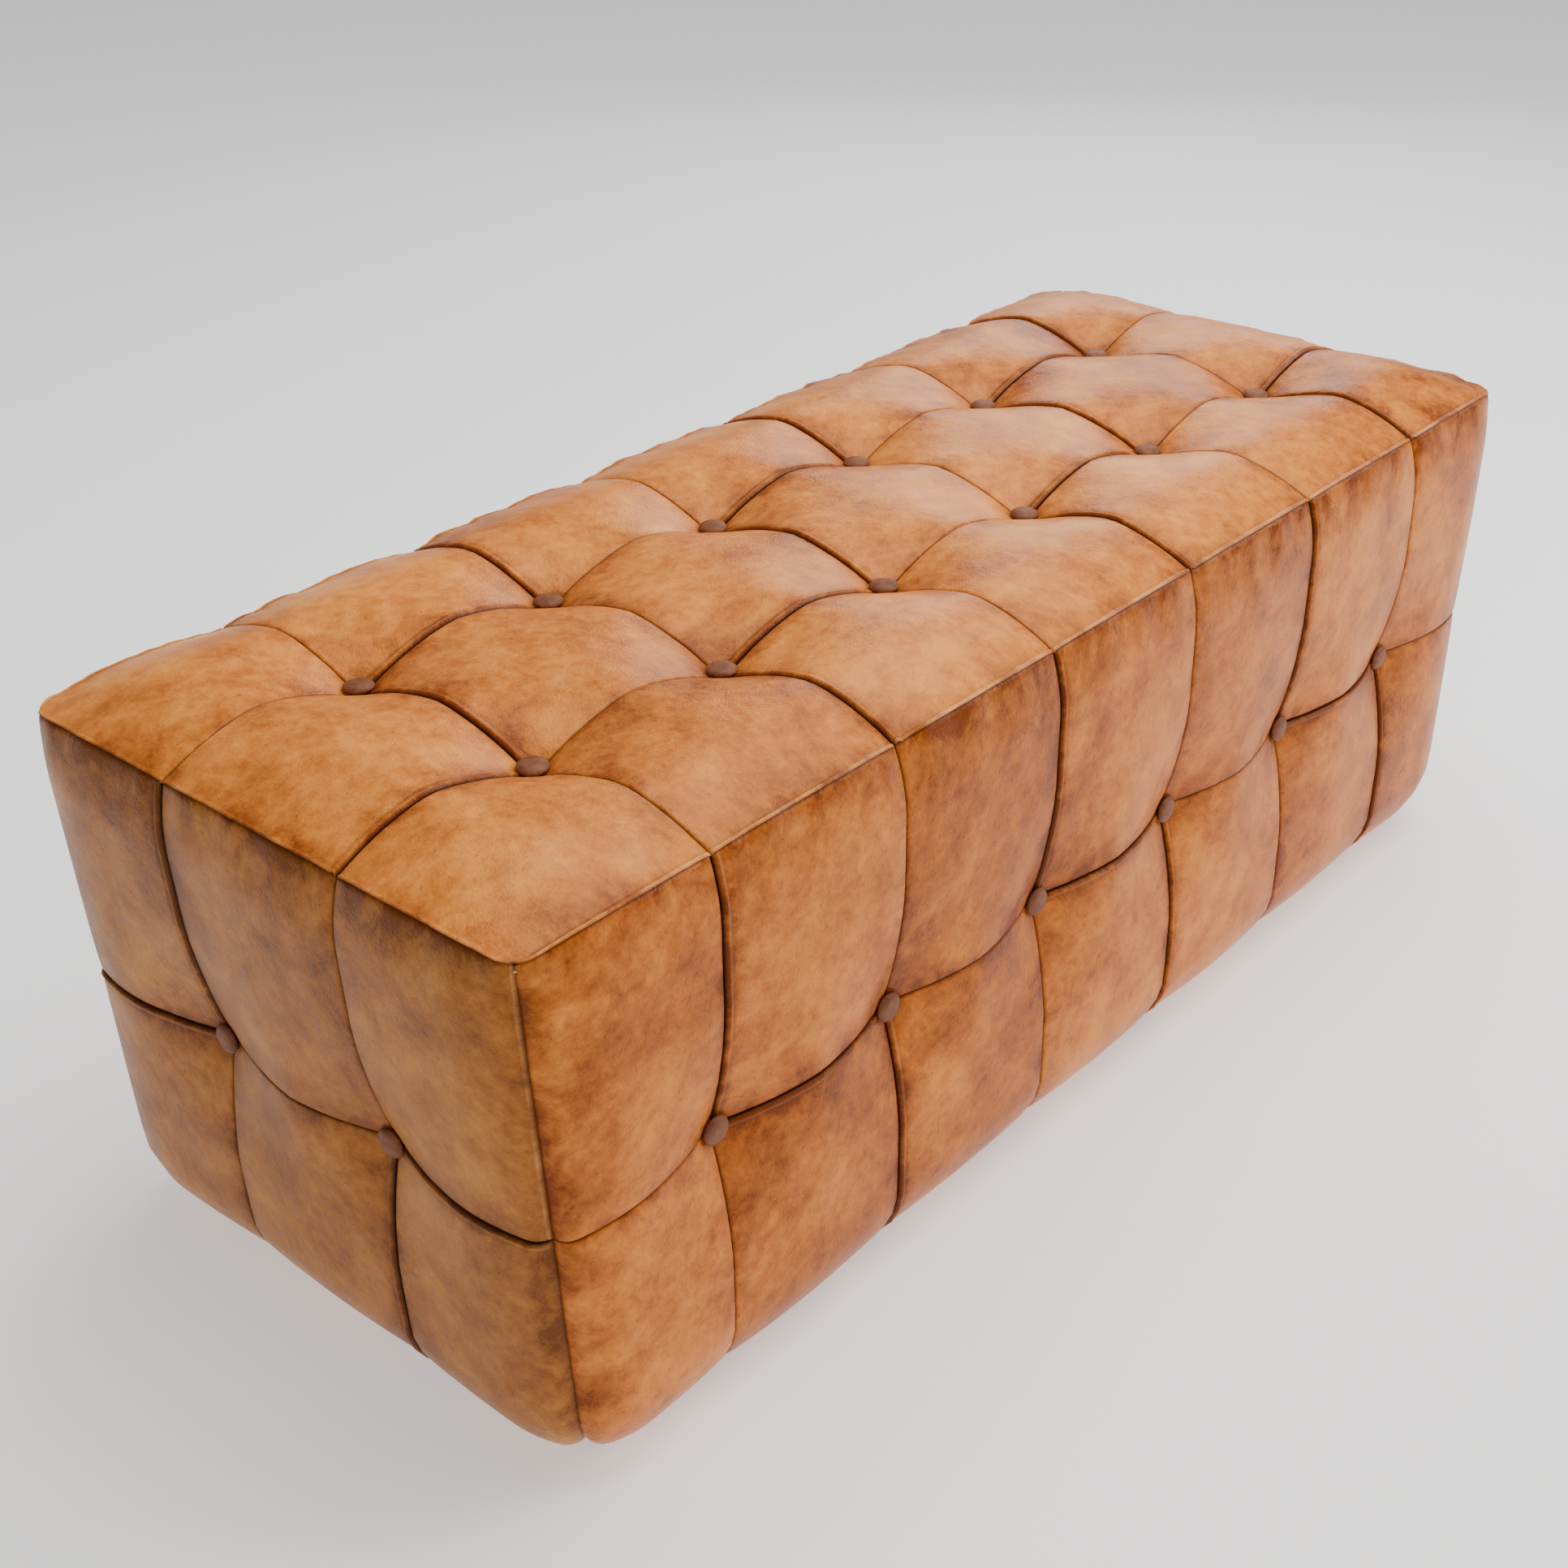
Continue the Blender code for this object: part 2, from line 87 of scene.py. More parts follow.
TUFT_POWER = 1.55  # how full the padding is between buttons
EASE = 0.006  # how softly it rises from a seam
VALLEY = 0.11  # depth of the seams between buttons, as a share of a panel's height
FURROW = 0.045
FURROW_WIDTH = 0.010
BUTTON_PRESS = 0.075
BUTTON_PRESS_WIDTH = 0.024
BUTTON_FLAT = 0.0092  # skin flat under a button, and free of it
BUTTON_FREE = 0.0140
SEAM_BOW = 0.0035
WAVER = 0.0009  # how far the top seam wanders, slowly and quickly
QUICK_WAVER = 0.0003
TOP_EDGE_ROUND = 0.085
SEAM_FADE = 0.06
CORNER_FADE = 0.019
CORNER_PULL = 0.0065
WANDER = 0.0009


def smooth(value, low, high):
    t = np.clip((value - low) / (high - low), 0.0, 1.0)
    return t * t * (3 - 2 * t)


def swelling(distance, reach, power=1.9):
    """0 at a line and 1 beyond its reach, rounded like an inflated edge."""
    return 1 - (1 - np.clip(distance / reach, 0.0, 1.0)) ** power


def eased(distance):
    """A distance that starts slowly, so that padding comes away from a line without a kink."""
    return np.sqrt(distance**2 + EASE**2) - EASE


def near(values, places):
    """Distance from each value to the nearest of some places."""
    return np.min([np.abs(values - place) for place in places], axis=0)


def tufted(across, along, reach_across, reach_along):
    """0 on a button and 1 in the middle of a panel, a little lower along the seams between."""
    over = swelling(eased(across), eased(reach_across), TUFT_POWER)
    up = swelling(eased(along), eased(reach_along), TUFT_POWER)
    valley = VALLEY * ((1 - over) * up + (1 - up) * over)
    beside = np.exp(-across / FURROW_WIDTH) * up + np.exp(-along / FURROW_WIDTH) * over
    furrow = FURROW * beside
    return over + up - over * up - valley - furrow


def seated(height, seat, crown, radius):
    """Presses the skin flat under a button and lets it rise again round it."""
    near_by = np.exp(-((radius / BUTTON_PRESS_WIDTH) ** 2))
    pressed = height - BUTTON_PRESS * (crown - seat) * near_by
    free = smooth(radius, BUTTON_FLAT, BUTTON_FREE)
    return pressed * free + seat * (1 - free)


def scallop(place, seams):
    """How far the top seam bows out between two crossings: (outwards, up)."""
    half = seams[-1]
    from_corner = half - np.abs(place)
    bow = swelling(near(place, seams[1:-1]), 0.05, 2.0) * smooth(from_corner, 0.0, 0.05)
    slow = WAVER * np.sin(95 * place + 2 * np.sin(31 * place))
    wave = slow + QUICK_WAVER * np.sin(310 * place)
    wave = wave * smooth(from_corner, 0.004, 0.03)
    return SEAM_BOW * bow + wave, SEAM_BOW * bow + 0.8 * wave


def corner_pull(down):
    """How far the upright corner seams are pulled in, most at the middle seam."""
    return CORNER_PULL + 0.0015 * np.exp(-(((down - upper_band) / 0.035) ** 2))


def fading(distance, reach):
    return (1 - np.clip(distance / reach, 0.0, 1.0)) ** 2


def unevenness(a, b, seed):
    """A slow wandering of hand-stuffed padding, about one unit high."""
    total = 0.0
    for k in range(5):
        angle = 2.4 * k + 1.7 * seed
        scale = 14.0 + 9.0 * k
        total = total + np.sin(
            scale * (a * math.cos(angle) + b * math.sin(angle)) + 3.1 * k + 5.3 * seed
        ) / (1.5 + 0.6 * k)
    return total / 2.0


def top_skin(x, y, lift):
    """The top's skin: x and y in the seam plane, lift above the padding."""
    across, along = near(x, inner_columns), near(y, inner_rows)
    radius = np.hypot(across, along)
    edge_x, edge_y = half_length - np.abs(x), half_width - np.abs(y)
    edge = swelling(edge_x, TOP_EDGE_ROUND) * swelling(edge_y, TOP_EDGE_ROUND)
    height = TOP_SEAT + (TOP_CROWN - TOP_SEAT) * tufted(across, along, half_pitch, half_pitch)
    height = seated(height * edge, TOP_SEAT, TOP_CROWN, radius)
    height = height + WANDER * unevenness(x, y, 1) * smooth(radius, 0.02, 0.06) * edge
    out_y, up_y = scallop(x, column_seams)
    out_x, up_x = scallop(y, row_seams)
    at_x, at_y = fading(edge_x, SEAM_FADE), fading(edge_y, SEAM_FADE)
    corner = corner_pull(0.0) * fading(edge_x, CORNER_FADE) * fading(edge_y, CORNER_FADE)
    new_x = x + np.sign(x) * (out_x * at_x - corner)
    new_y = y + np.sign(y) * (out_y * at_y - corner)
    new_z = seam_height + height + up_x * at_x + up_y * at_y + lift
    return np.stack([new_x, new_y, new_z], axis=-1)


def foot(down, reach):
    """A side's profile below the top seam: inset, height, and its normal's out and up parts."""
    turn = np.clip((down - wall_height) / FOOT_ARC, 0.0, 1.0) * math.pi / 2
    under = np.clip(down - wall_height - FOOT_ARC, 0.0, None)
    inset = reach * (1 - np.cos(turn)) + under
    height = seam_height - np.minimum(down, wall_height) - ROUND_HEIGHT * np.sin(turn)
    out, up = ROUND_HEIGHT * np.cos(turn), -reach * np.sin(turn)
    length = np.hypot(out, up)
    return inset, height, out / length, up / length


def end_lean(height):
    """How far the two ends lean in at a height, from nothing at the top seam."""
    return END_LEAN * (seam_height - height) / (seam_height - base_height)


def side_skin(side, along, down, lift):
    """A side's skin: along it, down it from the top seam, and lift off the padding."""
    long_side = side in LONG_SIDES
    seams = column_seams if long_side else row_seams
    half, half_across = (half_length, half_width) if long_side else (half_width, half_length)
    reach, reach_across = (ROUND_END, ROUND_SIDE) if long_side else (ROUND_SIDE, ROUND_END)
    inset, height, out_part, up_part = foot(down, reach_across)
    inset_along = foot(down, reach)[0] + (end_lean(height) if long_side else 0.0)
    inset = inset + (0.0 if long_side else end_lean(height))
    last = seams[-2]
    beyond = np.clip((np.abs(along) - last) / (half - last), 0.0, None)
    place = np.where(
        np.abs(along) > last,
        np.sign(along) * (last + beyond * (half - inset_along - last)),
        along,
    )
    across, from_middle = near(along, seams[1:-1]), np.abs(down - upper_band)
    radius = np.hypot(across, from_middle)
    edge = half - np.abs(along)
    rounded = swelling(edge, 0.06) * swelling(down, 0.05)
    tuft = tufted(across, from_middle, half_pitch, upper_band / 2)
    bulge = (SIDE_SEAT + (SIDE_CROWN - SIDE_SEAT) * tuft) * rounded
    bulge = seated(bulge, SIDE_SEAT, SIDE_CROWN, radius)
    seed = 2 + SIDES.index(side)
    wander = WANDER * unevenness(along, down, seed) * smooth(radius, 0.02, 0.06)
    bulge = bulge + wander * rounded
    foot_fade = 1 - smooth(down, wall_height + 0.45 * FOOT_ARC, wall_height + FOOT_ARC)
    bulge = bulge * foot_fade + lift
    bow_out, bow_up = scallop(along, seams)
    at_top = fading(down, SEAM_FADE)
    at_corner = corner_pull(down) * fading(edge, CORNER_FADE) * foot_fade
    out = half_across - inset + bulge * out_part + bow_out * at_top - at_corner
    up = height + bulge * up_part + bow_up * at_top
    place = place - np.sign(along) * at_corner
    return to_world(side, place, out, up)


def to_world(side, along, out, up):
    if side == "front":
        return np.stack([along, -out, up], axis=-1)
    if side == "back":
        return np.stack([along, out, up], axis=-1)
    if side == "left":
        return np.stack([-out, along, up], axis=-1)
    return np.stack([out, along, up], axis=-1)


def skin(face, a, b, lift):
    a, b = np.broadcast_arrays(a, b)
    return top_skin(a, b, lift) if face == "top" else side_skin(face, a, b, lift)


def face_normal(face, b):
    """The outward direction of a face's seam plane, for each place down it."""
    if face == "top":
        return to_world("front", 0 * b, 0 * b, 0 * b + 1.0)
    reach = ROUND_SIDE if face in LONG_SIDES else ROUND_END
    _, _, out, up = foot(b, reach)
    return to_world(face, 0 * b, out, up)


# ------------------------------------------------ seams

SEAM_GAP = 0.00012
RIB_AT = 0.0029


def bell(d, middle, width):
    return np.exp(-(((d - middle) / width) ** 2))


def seam_shape(kind, d):
    """How far the leather stands off the padding at a distance d from a seam."""
    if kind == "strong":
        return -0.0023 * np.exp(-((d / 0.0011) ** 1.3)) - 0.0007 * np.exp(-d / 0.009)
    if kind == "rib":
        swell = 0.0013 * bell(d, RIB_AT, 0.0016) - 0.0005 * bell(d, 0.0064, 0.0015)
        return swell - 0.0023 * np.exp(-((d / 0.0009) ** 1.5))
    if kind == "fine":
        return -0.0012 * np.exp(-((d / 0.0010) ** 1.3)) - 0.0005 * np.exp(-d / 0.008)
    if kind == "lip":
        return 0.0010 * bell(d, 0.0014, 0.0010) - 0.0005 * bell(d, 0.0044, 0.0015)
    if kind == "soft_lip":
        return 0.0005 * bell(d, 0.0012, 0.0010)
    if kind == "tucked":
        return -0.0019 * np.exp(-((d / 0.0018) ** 1.4))
    if kind == "corner_rib":
        return 0.0010 * bell(d, 0.0022, 0.0012) - 0.0018 * np.exp(-((d / 0.0010) ** 1.5))
    return 0.0 * d


def seam_marks(kind, d):
    """Painted crease shade, burnished band and pale crest at a distance from a seam: the crest is
    wear plus painted highlight, and below a tucked seam a painted sheen band.
    """
    none = 0.0 * d
    if kind == "strong":
        return bell(d, 0, 0.0013), 0.95 * np.exp(-d / 0.013), none
    if kind == "rib":
        # painted shade: dark in the seam crease and a thin painted shade line beside the rib
        dark = bell(d, 0, 0.0011) + 0.24 * bell(d, 0.0062, 0.0012)
        return dark, 1.2 * np.exp(-d / 0.010), 0.12 * bell(d, RIB_AT, 0.0010)
    if kind == "fine":
        return 0.60 * bell(d, 0, 0.0009), 0.65 * np.exp(-d / 0.012), none
    if kind == "lip":
        # lip: a painted shade line under the ridge; its pale crest is wear plus painted highlight
        return 0.30 * bell(d, 0.0036, 0.0008), 0.60 * np.exp(-d / 0.014), bell(d, 0.0014, 0.0008)
    if kind == "soft_lip":
        return 0.35 * bell(d, 0, 0.0008), 0.70 * np.exp(-d / 0.02), 0.25 * bell(d, 0.0014, 0.0008)
    if kind == "tucked":
        # tucked: painted shade in the crease, and a painted sheen band a little below the top seam
        return bell(d, 0, 0.0013), 1.0 * np.exp(-d / 0.020), 0.14 * bell(d, 0.013, 0.007)
    if kind == "corner_rib":
        return bell(d, 0, 0.0010), 0.6 * np.exp(-d / 0.012), 0.5 * bell(d, 0.0022, 0.0011)
    return none, none, none


def top_seams(column, row):
    """Seam kinds round a top panel: low x, high x, low y, high y."""

    def crossing(i):
        return row == 1 if i % 2 else row != 1

    def lengthwise(j):
        return column % 2 == (0 if j == 1 else 1)

    low_x = "soft_lip" if column == 0 else ("rib" if crossing(column) else "fine")
    high_x = "soft_lip" if column == 6 else ("strong" if crossing(column + 1) else "fine")
    low_y = "lip" if row == 0 else ("rib" if lengthwise(row) else "fine")
    high_y = "lip" if row == 2 else ("strong" if lengthwise(row + 1) else "fine")
    return low_x, high_x, low_y, high_y


def side_seams(side, column, band):
    """Seam kinds round a side panel: low and high along it, top and bottom."""
    last = 6 if side in LONG_SIDES else 2
    flip = side in ("back", "right")
    index = last - column if flip else column

    def upright(i):
        return (i % 2 == 1) == (band == 0)

    if side in LONG_SIDES:
        level = index % 2 == 1
        low_strong = upright(last + 1 - column if flip else column)
        high_strong = upright(last - column if flip else column + 1)
    else:
        level = index != 1
        low_strong = not upright(last + 1 - column if flip else column)
        high_strong = not upright(last - column if flip else column + 1)
    corner = "corner_rib" if side not in LONG_SIDES and band == 0 else "tucked"
    low_rib, high_rib = ("strong", "rib") if flip else ("rib", "strong")
    low = corner if column == 0 else (low_rib if low_strong else "fine")
    high = corner if column == last else (high_rib if high_strong else "fine")
    if band == 0:
        return low, high, "tucked", "strong" if level else "fine"
    return low, high, "rib" if level else "fine", "open"


# ------------------------------------------------ leather panels

SEAM_STEPS = (
    np.array(
        [0.0, 0.5, 1.0, 1.6, 2.3, 3.0, 3.7, 4.5, 5.5, 6.6, 7.8, 9.2]
        + [11, 13.5, 17, 21.5, 27, 33.5, 41, 49, 58, 67.5, 77, 88]
    )
    / 1000
)
TURNED = (0.0070, 0.0034)  # how far the seam allowance goes in, at its edge and halfway
LINING_GAP = 0.0003
LINING_DEEPER = 0.0045
LINING_WIDTH = 0.004
LINING_DEEPEST = 0.0068
# reach of the painted shade round each button
BUTTON_SHADE_REACH = 0.035


def across_panel(low, high, low_kind, high_kind):
    """Lines across a panel, close at its seams, and how deep each lies in the seam."""
    span = (high - low) / 2
    steps = SEAM_STEPS * span / SEAM_STEPS[-1]
    first = low + SEAM_GAP + steps * (span - SEAM_GAP) / span
    second = high - SEAM_GAP - steps[:-1][::-1] * (span - SEAM_GAP) / span
    lines, depths = list(first) + list(second), [0.0] * (2 * len(steps) - 1)
    if low_kind != "open":
        lines, depths = [lines[0]] * 2 + lines, list(TURNED) + depths
    if high_kind != "open":
        lines, depths = lines + [lines[-1]] * 2, depths + list(TURNED[::-1])
    return np.array(lines), np.array(depths)


def turn_in(face, kind, which, b):
    """The way a seam allowance goes: straight in at a flat seam, diagonally at an edge."""
    inward = face_normal(face, b)
    if kind not in ("lip", "soft_lip", "tucked", "corner_rib"):
        return -inward
    if face == "top":
        sign = -1.0 if which in ("low_a", "low_b") else 1.0
        other = np.zeros_like(inward)
        other[..., 0 if which in ("low_a", "high_a") else 1] = sign
    elif which == "low_b":
        other = np.zeros_like(inward)
        other[..., 2] = 1.0
    else:
        sign = -1.0 if which == "low_a" else 1.0
        reach = ROUND_END if face in LONG_SIDES else ROUND_SIDE
        _, _, out, up = foot(b, reach)
        other = np.zeros_like(inward)
        other[..., 0 if face in LONG_SIDES else 1] = sign * out
        other[..., 2] = up
    both = inward + other
    return -both / np.linalg.norm(both, axis=-1, keepdims=True)


def grid_faces(rows, columns, start, flip=False):
    i, j = np.meshgrid(np.arange(rows - 1), np.arange(columns - 1), indexing="ij")
    a = (start + i * columns + j).ravel()
    quad = np.stack([a, a + columns, a + columns + 1, a + 1], axis=1)
    return quad[:, ::-1] if flip else quad


def border(rows, columns):
    path = [(0, j) for j in range(columns)]
    path += [(i, columns - 1) for i in range(1, rows)]
    path += [(rows - 1, j) for j in range(columns - 2, -1, -1)]
    path += [(i, 0) for i in range(rows - 2, 0, -1)]
    return [i * columns + j for i, j in path]


def closed_mesh(name, outer, inner):
    """A closed piece from an outer and an inner grid of points."""
    rows, columns = outer.shape[:2]
    count = rows * columns
    points = np.concatenate([outer.reshape(-1, 3), inner.reshape(-1, 3)])
    faces = np.concatenate([grid_faces(rows, columns, 0), grid_faces(rows, columns, count, True)])
    ring = np.array(border(rows, columns))
    turned = np.roll(ring, -1)
    rim = np.stack([ring, turned, turned + count, ring + count], axis=1)
    faces = np.concatenate([faces, rim])
    mesh = bpy.data.meshes.new(name)
    mesh.from_pydata(points.tolist(), [], faces.tolist())
    mesh.update()
    obj = bpy.data.objects.new(name, mesh)
    bpy.context.scene.collection.objects.link(obj)
    shape = bmesh.new()
    shape.from_mesh(mesh)
    bmesh.ops.recalc_face_normals(shape, faces=shape.faces)
    shape.to_mesh(mesh)
    shape.free()
    mesh.shade_smooth()
    return obj


def add_attribute(mesh, name, values):
    attribute = mesh.attributes.new(name, "FLOAT", "POINT")
    attribute.data.foreach_set("value", np.asarray(values, np.float32).ravel())


def add_hide_map(mesh, coordinates):
    """A UV map in metres of hide, so that each panel shows its own patch of leather."""
    layer = mesh.uv_layers.new(name="hide")
    corner = np.empty(len(mesh.loops), np.int32)
    mesh.loops.foreach_get("vertex_index", corner)
    layer.data.foreach_set("uv", coordinates[corner].astype(np.float32).ravel())


def chance(seed):
    """A repeatable number from 0 to 1."""
    value = math.sin(seed * 12.9898 + 4.1414) * 43758.5453
    return value - math.floor(value)


def leather_panel(name, face, a_range, b_range, kinds, seed, material, node):
    low_a, high_a, low_b, high_b = kinds
    a, depth_a = across_panel(*a_range, low_a, high_a)
    b, depth_b = across_panel(*b_range, low_b, high_b)
    a_grid, b_grid = np.meshgrid(a, b, indexing="ij")
    borders = (
        ("low_a", low_a, a_grid - a_range[0]),
        ("high_a", high_a, a_range[1] - a_grid),
        ("low_b", low_b, b_grid - b_range[0]),
        ("high_b", high_b, b_range[1] - b_grid),
    )
    sunk, raised = 0.0 * a_grid, 0.0 * a_grid
    crease_shade, burnish, worn = 0.0 * a_grid, 0.0 * a_grid, 0.0 * a_grid
    lining = 0.0 * a_grid - LEATHER - LINING_GAP
    for _, kind, distance in borders:
        shape = seam_shape(kind, distance)
        sunk, raised = np.minimum(sunk, shape), np.maximum(raised, shape)
        # dark is painted crease shade; pale is wear plus painted highlight and sheen
        dark, soft, pale = seam_marks(kind, distance)
        crease_shade, burnish = np.maximum(crease_shade, dark), np.maximum(burnish, soft)
        worn = np.maximum(worn, pale)
        if kind not in ("open", "lip", "soft_lip"):
            lining = lining - LINING_DEEPER * bell(distance, 0, LINING_WIDTH)
    outer = skin(face, a_grid, b_grid, sunk + raised)
    a_in = np.clip(a_grid, a_range[0] + LEATHER, a_range[1] - LEATHER)
    b_in = np.clip(b_grid, b_range[0] + LEATHER, b_range[1] - LEATHER)
    inner = skin(face, a_in, b_in, np.maximum(lining, -LINING_DEEPEST))
    deepest = np.maximum(depth_a[:, None], depth_b[None, :])
    direction, weight = np.zeros_like(outer), np.zeros_like(a_grid)
    for which, kind, _ in borders:
        lines = depth_a[:, None] if which.endswith("a") else depth_b[None, :]
        half = len(a) // 2 if which.endswith("a") else len(b) // 2
        index = np.arange(len(a))[:, None] if which.endswith("a") else np.arange(len(b))[None, :]
        here = (index < half) if which.startswith("low") else (index >= half)
        share = np.broadcast_to(lines * here, a_grid.shape)
        direction = direction + share[..., None] * turn_in(face, kind, which, b_grid)
        weight = weight + share
    direction = direction / np.maximum(weight, 1e-9)[..., None]
    outer = outer + direction * deepest[..., None]
    inner = inner + direction * deepest[..., None]
    obj = closed_mesh(name, outer, inner)
    mesh = obj.data
    hidden = (deepest > 0).ravel()
    # the turned-in allowances and the inner shell get the full crease colour: painted shade
    crease_shade = np.concatenate([np.maximum(crease_shade.ravel(), hidden), np.ones(crease_shade.size)])
    zeros = np.zeros(crease_shade.size // 2)
    add_attribute(mesh, "crease_shade", np.clip(crease_shade, 0, 1))
    add_attribute(mesh, "burnish", np.concatenate([burnish.ravel(), zeros]))
    # pale crests: wear plus painted highlight, and a painted sheen band below tucked seams
    add_attribute(mesh, "worn", np.concatenate([worn.ravel() * ~hidden, zeros]))
    # painted shade that darkens the leather round each button
    button_distance = near_button(face, a_grid, b_grid)
    puckered = np.exp(-button_distance / BUTTON_SHADE_REACH).ravel()
    add_attribute(mesh, "puckered", np.concatenate([puckered, zeros]))
    add_attribute(mesh, "tone", np.full(crease_shade.size, chance(seed)))
    turn = 2 * math.pi * chance(seed + 0.37)
    flat = np.stack([a_grid.ravel(), b_grid.ravel()], axis=1)
    spin = np.array([[math.cos(turn), -math.sin(turn)], [math.sin(turn), math.cos(turn)]])
    patch = flat @ spin + np.array([7 * chance(seed + 0.11), 7 * chance(seed + 0.73)])
    add_hide_map(mesh, np.concatenate([patch, patch]))
    mesh.materials.append(material)
    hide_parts(node)
    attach(obj, "root")


def near_button(face, a, b):
    if face == "top":
        return np.hypot(near(a, inner_columns), near(b, inner_rows))
    seams = inner_columns if face in LONG_SIDES else inner_rows
    return np.hypot(near(a, seams), np.abs(b - upper_band))


def make_panels(top_leather_lit, side_leather_shaded, end_leather_shaded):
    seed = 1.0
    for row in range(3):
        for column in range(7):
            leather_panel(
                f"top_panel_{('front', 'middle', 'back')[row]}_{column + 1}",
                "top",
                (column_seams[column], column_seams[column + 1]),
                (row_seams[row], row_seams[row + 1]),
                top_seams(column, row),
                seed,
                top_leather_lit,
                "top_cover",
            )
            seed += 1
    bands = ((0.0, upper_band), (upper_band, skirt_length))
    for side in SIDES:
        seams = column_seams if side in LONG_SIDES else row_seams
        for band, level in enumerate(("upper", "lower")):
            for column in range(len(seams) - 1):
                leather_panel(
                    f"{side}_{level}_panel_{column + 1}",
                    side,
                    (seams[column], seams[column + 1]),
                    bands[band],
                    side_seams(side, column, band),
                    seed,
                    side_leather_shaded if side in LONG_SIDES else end_leather_shaded,
                    f"{side}_cover",
                )
                seed += 1


# ------------------------------------------------ foam under the leather


PAD_GAP = 0.003
PAD_DEPTH = 0.0026  # foam below the skin: everywhere, more along the seams, and under a button
PAD_SEAM_DEPTH = 0.0045
PAD_SEAM_WIDTH = 0.004
PAD_DEEPEST = 0.0074
PAD_BUTTON_DEPTH = 0.0050
PAD_BUTTON_REACH = 0.030
PAD_FOOT = 0.80
PADDING_STEPS = (
    *(0.0, 0.04, 0.09, 0.15, 0.22, 0.30, 0.40),
    *(0.50, 0.60, 0.70, 0.78, 0.85, 0.91, 0.96),
)


def padding_lines(seams):
    lines = []
    for low, high in zip(seams, seams[1:]):
        lines += [low + (high - low) * step for step in PADDING_STEPS]
    return np.array(lines + [seams[-1]])


def drawn_in(values, seams, by):
    """Pulls the outermost panels of a grid in, and leaves the button lines where they are."""
    last, half = seams[-2], seams[-1]
    share = np.clip((np.abs(values) - last) / (half - last), 0.0, 1.0)
    return values - np.sign(values) * by * share


def make_padding(face, material):
    """One foam pad, moulded to the skin in front and flat behind, mitred into its neighbours."""
    node = f"{face}_foam"
    low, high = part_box(node)
    deck_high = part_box("top_deck")[1]
    seams_a = column_seams if face in ("top", *LONG_SIDES) else row_seams
    seams_b = row_seams if face == "top" else [0.0, upper_band]
    a = padding_lines(seams_a)
    lowest = wall_height + PAD_FOOT * FOOT_ARC
    b = padding_lines(row_seams if face == "top" else [*seams_b, lowest])
    a_grid, b_grid = np.meshgrid(a, b, indexing="ij")
    ease = PAD_SEAM_DEPTH * bell(near(a_grid, seams_a), 0, PAD_SEAM_WIDTH)
    ease = ease + PAD_SEAM_DEPTH * bell(near(b_grid, seams_b), 0, PAD_SEAM_WIDTH)
    from_button = near_button(face, a_grid, b_grid)
    under_button = PAD_BUTTON_DEPTH * np.exp(-from_button / PAD_BUTTON_REACH)
    depth = np.minimum(PAD_DEPTH + ease, PAD_DEEPEST) + under_button
    pulled_a = drawn_in(a_grid, seams_a, PAD_GAP)
    if face == "top":
        pulled_b = drawn_in(b_grid, seams_b, PAD_GAP)
    else:
        pulled_b = np.maximum(b_grid, PAD_GAP)
    outer = skin(face, pulled_a, pulled_b, -depth)
    if face == "top":
        across, along = a_grid * deck_high[0] / half_length, b_grid * deck_high[1] / half_width
        inner = np.stack([across, along, 0 * across + low[2]], axis=-1)
    else:
        axis = 1 if face in LONG_SIDES else 0
        plane = min(abs(low[axis]), abs(high[axis]))
        bottom, top = outer[..., 2].min(), outer[..., 2].max()
        room = deck_high[2] - PAD_GAP - bottom
        upwards = bottom + (outer[..., 2] - bottom) * room / (top - bottom)
        shrink = (deck_high[1 - axis] - PAD_GAP) / seams_a[-1]
        inner = to_world(face, a_grid * shrink, 0 * a_grid + plane, upwards)
    obj = closed_mesh(f"{face}_padding", outer, inner)
    obj.data.materials.append(material)
    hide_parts(node)
    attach(obj, "root")


# ------------------------------------------------ covered buttons


def deselect_all():
    if bpy.context.object and bpy.context.object.mode != "OBJECT":
        bpy.ops.object.mode_set(mode="OBJECT")
    bpy.ops.object.select_all(action="DESELECT")


def select_faces(obj, test):
    """Selects the faces that pass test(centre, normal), and stays in edit mode."""
    bpy.ops.object.mode_set(mode="OBJECT")
    for part in (obj.data.vertices, obj.data.edges, obj.data.polygons):
        part.foreach_set("select", [False] * len(part))
    for polygon in obj.data.polygons:
        polygon.select = test(polygon.center, polygon.normal)
    bpy.ops.object.mode_set(mode="EDIT")
    bpy.ops.mesh.select_mode(type="FACE")


def raise_ring(height, scale):
    """Extrudes the selected face by a height and scales its end."""
    bpy.ops.mesh.extrude_region_move(TRANSFORM_OT_translate={"value": (0, 0, height)})
    bpy.ops.transform.resize(value=(scale, scale, scale))


BUTTON_RADIUS = 0.0114
BUTTON_DOME = 0.0060
SHANK_RADIUS = 0.0022
SHANK_LENGTH = 0.0118
BACK_RADIUS = 0.90 * BUTTON_RADIUS
BACK_THICK = 0.0006
RINGS = (  # height and taper of each ring of the dome
    *((0.0012, 1.11), (0.0016, 0.985), (0.0017, 0.86)),
    *((0.0011, 0.74), (0.0006, 0.55), (0.0001, 0.35)),
)
TILT_DEGREES = 5
BUTTON_PROUD = 0.0002


